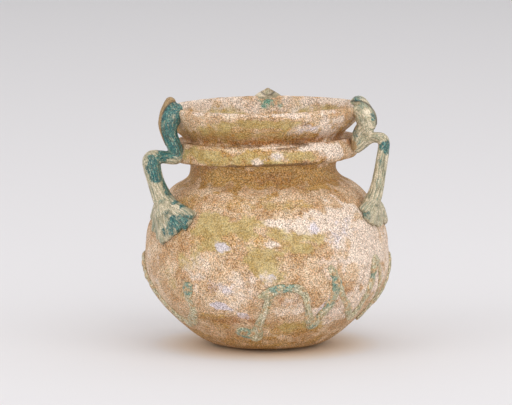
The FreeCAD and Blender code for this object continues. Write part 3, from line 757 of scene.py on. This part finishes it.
# The noises' scales here are shares of the grain
speckleLook = {
    "fine": (1, 1, 0.5), "fineRange": (0.38, 0.62), "fineValues": (0.56, 1.34),
    "warm": (0.45, 2, 0.6), "warmRange": (0.35, 0.65), "hues": (0.493, 0.507), "saturations": (1.1, 0.9),
    "patches": (0.16, 3, 0.6), "patchRange": (0.35, 0.65), "patchShifts": (-0.035, 0.035),
    "dots": (0.8, 2, 0.8), "darkRange": (0.56, 0.61), "lightRange": (0.42, 0.33),
    "pit": {"Saturation": 1.5, "Value": 0.36}, "pitShare": 0.9,
    "crystal": {"Saturation": 0.7, "Value": 1.4}, "crystalShare": 0.8,
}


# Sandy mottling of a weathering crust: darker and lighter grains over a colour, and their relief
def speckleGroup():
    own = speckleLook
    group, board, given, wanted = newGroup("crustSpeckle", [
        ("Vector", "NodeSocketVector", None),
        ("Color", "NodeSocketColor", None),
        ("Grain", "NodeSocketFloat", 1700.0),
        ("Amount", "NodeSocketFloat", 1.0),
    ], [("Color", "NodeSocketColor"), ("Height", "NodeSocketFloat")])

    def grains(share, detail, roughness):
        scale = board.math("MULTIPLY", given["Grain"], share)
        return board.noise(given["Vector"], scale, detail, roughness)

    fine = grains(*own["fine"])
    warm = grains(*own["warm"])
    patchy = grains(*own["patches"])
    dots = grains(*own["dots"])
    toned = board.add("ShaderNodeHueSaturation", {
        "Hue": board.ramp(warm, *own["warmRange"], *own["hues"]),
        "Saturation": board.ramp(warm, *own["warmRange"], *own["saturations"]),
        "Value": board.ramp(fine, *own["fineRange"], *own["fineValues"]),
        "Fac": given["Amount"], "Color": given["Color"],
    }).outputs["Color"]
    shifted = board.math("ADD", dots, board.ramp(patchy, *own["patchRange"], *own["patchShifts"]))
    dark = board.math("MULTIPLY", board.ramp(shifted, *own["darkRange"]), given["Amount"])
    light = board.math("MULTIPLY", board.ramp(dots, *own["lightRange"]), given["Amount"])
    color = toned
    for mask, tone in ((dark, "pit"), (light, "crystal")):
        shade = board.add("ShaderNodeHueSaturation", {**own[tone], "Color": toned}).outputs["Color"]
        color = board.mix(board.math("MULTIPLY", mask, own[tone + "Share"]), color, shade)
    board.tree.links.new(color, wanted["Color"])
    board.tree.links.new(board.math("SUBTRACT", board.math("ADD", fine, light), dark), wanted["Height"])
    return group


flakeLook = {"detail": 7, "roughness": 0.8, "spread": 2.2, "edge": (0.3, 0.7)}


# Breaks a soft mask into ragged flakes
def raggedGroup():
    group, board, given, wanted = newGroup("raggedEdge", [
        ("Vector", "NodeSocketVector", None),
        ("Mask", "NodeSocketFloat", 0.0),
        ("Scale", "NodeSocketFloat", 300.0),
    ], [("Mask", "NodeSocketFloat")])
    flakes = board.noise(given["Vector"], given["Scale"], flakeLook["detail"], flakeLook["roughness"])
    spread = board.math("MULTIPLY", board.math("SUBTRACT", flakes, 0.5), flakeLook["spread"])
    broken = board.ramp(board.math("ADD", given["Mask"], spread), *flakeLook["edge"])
    board.tree.links.new(broken, wanted["Mask"])
    return group


speckle = speckleGroup()
ragged = raggedGroup()


def newMaterial(name):
    material = bpy.data.materials.new(name)
    material.use_nodes = True
    material.node_tree.nodes.clear()
    board = Board(material.node_tree)
    place = board.add("ShaderNodeTexCoord").outputs["Object"]
    return material, board, place


# A painted mask with a ragged, flaking edge
def addFlakes(board, place, mask, scale):
    flakes = board.add("ShaderNodeGroup", {"Vector": place, "Mask": mask, "Scale": scale}, node_tree=ragged)
    return flakes.outputs["Mask"]


def addSpeckle(board, place, color, amount, own):
    grains = board.add("ShaderNodeGroup", {
        "Vector": place, "Color": color, "Grain": own["grain"], "Amount": amount,
    }, node_tree=speckle)
    return grains.outputs["Color"], grains.outputs["Height"]


def showShader(board, shader):
    output = board.add("ShaderNodeOutputMaterial")
    board.tree.links.new(shader.outputs[0], output.inputs["Surface"])


# Joins colour, roughness and relief to the shader. The constants are set on the shader's own sockets.
def finishMaterial(board, color, roughness, height, own):
    normal = board.add("ShaderNodeBump", {"Height": height, "Strength": own["bumpStrength"],
                                          "Distance": own["bumpDepth"] * mm}).outputs["Normal"]
    shader = board.add("ShaderNodeBsdfPrincipled", {
        "Base Color": color, "Roughness": roughness, "Normal": normal,
    })
    shader.inputs["Coat Weight"].default_value = own["gloss"]
    shader.inputs["Coat Roughness"].default_value = glossRoughness
    showShader(board, shader)


crust = {
    "tan": "c0976b", "cream": "dfc2a1", "clouds": (110.0, 5, 0.65), "cloudRange": (0.38, 0.62),
    # The gold tones are golden glass, and painted shade in the neck
    "goldAndShade": "b28549", "goldLight": "c69f60", "streaks": (1.0, 4, 0.6), "streakRange": (0.38, 0.64),
    "streakScales": (60.0, 60.0, 420.0),
    "olive": "c4ae72", "oliveDark": "ae914c", "mottles": (260.0, 4, 0.6), "mottleRange": (0.4, 0.6),
    # The crease tone is painted shade in the creases
    # The pale tone is pale crust, and painted highlight on the rim and the collar's top edge
    # The rust tone is rust-brown crust, and painted shade in the recesses
    "paleAndHighlight": "efdccb", "pearl": "dcd5e0", "rustAndShade": "a97340", "teal": "6f9a84", "creaseShade": "6e4c26",
    # Each layer from the bottom up, with the scale of its flakes and how much it covers
    "layers": [
        ("goldAndShade", 150.0, 1), ("rustAndShade", 260.0, 0.75), ("olive", 200.0, 0.85), ("paleAndHighlight", 230.0, 0.8),
        ("pearl", 330.0, 0.75), ("teal", 400.0, 1), ("creaseShade", 700.0, 0.8),
    ],
    "grain": 2300.0, "speckle": 1.0, "oliveSpeckle": 0.75, "oliveSink": 0.5,
    "roughness": 0.72, "glassyRoughness": 0.4, "bumpStrength": 0.4, "bumpDepth": 0.12, "gloss": 0.05,
}


# Layers of weathering and painted shade, from the golden glass up to pale and pearly scales
def crustMaterial():
    material, board, place = newMaterial("weatheringCrust")
    clouds = board.ramp(board.noise(place, *crust["clouds"]), *crust["cloudRange"])
    color = board.mix(clouds, tint(crust["tan"]), tint(crust["cream"]))
    drawn = board.add("ShaderNodeMapping", {"Vector": place, "Scale": crust["streakScales"]})
    streaks = board.ramp(board.noise(drawn.outputs["Vector"], *crust["streaks"]), *crust["streakRange"])
    mottling = board.ramp(board.noise(place, *crust["mottles"]), *crust["mottleRange"])
    tones = {
        "goldAndShade": board.mix(streaks, tint(crust["goldAndShade"]), tint(crust["goldLight"])),
        "olive": board.mix(mottling, tint(crust["olive"]), tint(crust["oliveDark"])),
    }
    flakes = {}
    for name, scale, share in crust["layers"]:
        flakes[name] = addFlakes(board, place, board.mask(name), scale)
        cover = board.math("MULTIPLY", flakes[name], share)
        color = board.mix(cover, color, tones.get(name, tint(crust[name])))
    amount = board.ramp(flakes["olive"], 0, 1, crust["speckle"], crust["oliveSpeckle"])
    color, relief = addSpeckle(board, place, color, amount, crust)
    glassy = board.math("MAXIMUM", flakes["olive"], flakes["pearl"])
    roughness = board.ramp(glassy, 0, 1, crust["roughness"], crust["glassyRoughness"])
    height = board.math("SUBTRACT", relief, board.math("MULTIPLY", flakes["olive"], crust["oliveSink"]))
    finishMaterial(board, color, roughness, height, crust)
    return material


rods = {
    "bases": ["8b9581", "c4b694", "e8dac0"],
    "teals": ["123a3e", "286a69", "70ab9a"],
    # The contact tone and its share paint shade where the piece meets the jar's skin
    "tan": "a58253", "groove": "665c3e", "grooveShadeShare": 0.4, "contactShadeTone": "5c4a2c", "contactShadeShare": 0.75,
    "streaks": (1.9, 4, 0.7), "fineStreaks": (4.0, 3, 0.7), "crusted": 0.0, "grain": 2500.0, "speckle": 0.55,
    "bumpStrength": 0.5, "bumpDepth": 0.16, "gloss": 0.12,
}

threads = {
    "bases": ["9fa083", "c6ba97", "ebdfc6"],
    "teals": ["3f6a64", "6f9484", "adb9a0"],
    # The contact tone and its share paint shade where the thread meets the jar's skin
    "tan": "cda67a", "groove": "86774f", "grooveShadeShare": 0.4, "contactShadeTone": "86703f", "contactShadeShare": 0.6,
    "streaks": (1.4, 4, 0.7), "fineStreaks": (3.0, 3, 0.7), "crusted": 0.85, "grain": 2300.0, "speckle": 0.9,
    "bumpStrength": 0.4, "bumpDepth": 0.12, "gloss": 0.05,
}

# What the handles and the thread share
drawnGlass = {
    "lowerRange": (0.4, 0.5), "upperRange": (0.51, 0.6),
    "mottles": (1500.0, 3, 0.8), "wear": (900.0, 4, 0.8), "wearRange": (0.53, 0.58), "wearShare": 0.65,
    "tealFlakes": 600.0, "tanFlakes": 500.0, "tanShare": 0.85,
    "scales": (420.0, 4, 0.7), "scaleRange": (0.46, 0.6),
    # The seam tone is painted shadow where the fold is pressed on the rod
    "grooveRange": (0.05, 0.32), "seamShade": "2e2a20", "seamShadeShare": 0.8,
    "roughness": 0.6, "glassyRoughness": 0.38, "grainRelief": 0.5, "streakRange": (0.55, 0.68),
}


def threeTones(board, share, tones):
    lower = board.mix(board.ramp(share, *drawnGlass["lowerRange"]), tint(tones[0]), tint(tones[1]))
    return board.mix(board.ramp(share, *drawnGlass["upperRange"]), lower, tint(tones[2]))


# Blue-green glass drawn out in streaks, crusted over in places. The streaks follow the rod.
def rodMaterial(name, own):
    both = drawnGlass
    material, board, place = newMaterial(name)
    grain = board.add("ShaderNodeAttribute", attribute_name="grain").outputs["Vector"]
    streaks = board.noise(grain, *own["streaks"])
    fineStreaks = board.noise(grain, *own["fineStreaks"])
    color = threeTones(board, streaks, own["bases"])

    # Half streaks, half clouds
    def streakyClouds(clouds):
        half = board.math("MULTIPLY", board.noise(place, *clouds), 0.5)
        return board.math("ADD", board.math("MULTIPLY", fineStreaks, 0.5), half)

    mottle = streakyClouds(both["mottles"])
    worn = board.ramp(streakyClouds(both["wear"]), *both["wearRange"])
    bare = addFlakes(board, place, board.mask("teal"), both["tealFlakes"])
    tealMask = board.math("SUBTRACT", bare, board.math("MULTIPLY", worn, both["wearShare"]))
    color = board.mix(tealMask, color, threeTones(board, mottle, own["teals"]))
    scales = board.ramp(board.noise(place, *both["scales"]), *both["scaleRange"])
    crusted = board.math("ADD", board.mask("tan"), board.math("MULTIPLY", scales, own["crusted"]))
    tan = board.math("MULTIPLY", addFlakes(board, place, crusted, both["tanFlakes"]), both["tanShare"])
    color = board.mix(tan, color, tint(own["tan"]))
    # Painted shade: the colour darkens the deeper a groove is cut
    grooveShade = board.math("MULTIPLY", board.ramp(board.mask("groove"), *both["grooveRange"]), own["grooveShadeShare"])
    color = board.mix(grooveShade, color, tint(own["groove"]))
    # Painted shade where the piece meets the jar's skin
    color = board.mix(board.math("MULTIPLY", board.mask("contactShade"), own["contactShadeShare"]), color, tint(own["contactShadeTone"]))
    color, relief = addSpeckle(board, place, color, own["speckle"], own)
    # Painted shadow in the gap along the fold's seam
    seamShade = board.math("MULTIPLY", board.mask("seamShade"), both["seamShadeShare"])
    color = board.mix(seamShade, color, tint(both["seamShade"]))
    roughness = board.ramp(tealMask, 0, 1, both["roughness"], both["glassyRoughness"])
    height = board.math("SUBTRACT", board.math("MULTIPLY", relief, both["grainRelief"]),
                        board.ramp(fineStreaks, *both["streakRange"]))
    finishMaterial(board, color, roughness, height, own)
    return material


# Put the pieces in place

crustLook = crustMaterial()
rodLook = rodMaterial("blueGreenRod", rods)
threadLook = rodMaterial("threadGlass", threads)


def settle(piece, node, look):
    piece.data.materials.clear()
    piece.data.materials.append(look)
    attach(piece, "root")
    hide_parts(node)
    print("made", piece.name, len(piece.data.polygons), "faces")


body = makeJar()
paintJar(body)
leanPiece(body)
settle(body, "jar_body", crustLook)
for side in ("left", "right", "back"):
    handle = makeHandle(side)
    paintRod(handle, side)
    settle(handle, handles[side]["node"], rodLook)
zigzag = makeThread()
paintThread(zigzag)
settle(zigzag, "zigzag_trail", threadLook)


# Floor, light and camera

studio = {
    "floorSize": 12,
    # Near the jar the floor is tinted warm: painted warm light bounced from the jar into its shadow
    "warm": "f0d9b8", "near": "eae9eb", "far": "d0d0d2",
    # Far from the jar the floor turns darker: painted fall-off of the light
    "warmRange": (0.045, 0.015), "farRange": (0.3, 3.2), "floorRoughness": 0.9, "floorSpecular": 0.1,
    "key": {"place": (0.9, -1.0, 1.3), "size": 1.8, "power": 5.5},
    "fill": {"place": (-1.3, -0.9, 0.9), "size": 1.4, "power": 3.5},
    "low": {"place": (0.25, -1.5, 0.1), "size": 0.9, "power": 7.5},
    "aim": (0, 0, 0.05),
    "skyShade": "f6f4f4", "skyStrength": 0.93,
    "camera": {"place": (-0.0041, -1.2897, 0.2089), "aim": (-0.0041, 0, 0.0553), "lens": 235.3, "sensor": 36},
}


def makeFloor():
    deselectAll()
    bpy.ops.mesh.primitive_plane_add(size=studio["floorSize"], location=(0, 0, 0))
    floor = bpy.context.object
    floor.name = "floor"
    material, board, place = newMaterial("paleFloor")
    distance = board.add("ShaderNodeVectorMath", {0: place}, operation="LENGTH").outputs["Value"]
    # Painted fall-off of the light: the floor darker far from the jar
    color = board.mix(board.ramp(distance, *studio["farRange"]), tint(studio["near"]), tint(studio["far"]))
    # Painted warm bounce light in the jar's shadow, near its foot
    color = board.mix(board.ramp(distance, *studio["warmRange"]), color, tint(studio["warm"]))
    shader = board.add("ShaderNodeBsdfPrincipled", {"Base Color": color})
    shader.inputs["Roughness"].default_value = studio["floorRoughness"]
    shader.inputs["Specular IOR Level"].default_value = studio["floorSpecular"]
    showShader(board, shader)
    floor.data.materials.append(material)


# Hangs a lamp or camera at a place, facing another place
def hang(name, data, place, aim):
    holder = bpy.data.objects.new(name, data)
    holder.location = place
    holder.rotation_euler = (Vector(aim) - holder.location).to_track_quat("-Z", "Y").to_euler()
    bpy.context.scene.collection.objects.link(holder)
    return holder


def makeLamp(name):
    own = studio[name]
    lamp = bpy.data.lights.new(name, "AREA")
    lamp.shape = "DISK"
    lamp.size = own["size"]
    lamp.energy = own["power"]
    hang(name, lamp, own["place"], studio["aim"])


def makeSky():
    sky = bpy.data.worlds.new("softSky")
    sky.use_nodes = True
    bpy.context.scene.world = sky
    background = sky.node_tree.nodes["Background"]
    background.inputs["Color"].default_value = tint(studio["skyShade"])
    background.inputs["Strength"].default_value = studio["skyStrength"]


def makeCamera():
    view = studio["camera"]
    camera = bpy.data.cameras.new("camera")
    camera.lens = view["lens"]
    camera.sensor_width = view["sensor"]
    bpy.context.scene.camera = hang("camera", camera, view["place"], view["aim"])


makeFloor()
for name in ("key", "fill", "low"):
    makeLamp(name)
makeSky()
makeCamera()
bpy.context.scene.view_settings.view_transform = "Standard"
print("floor, lamps, sky and camera ready")
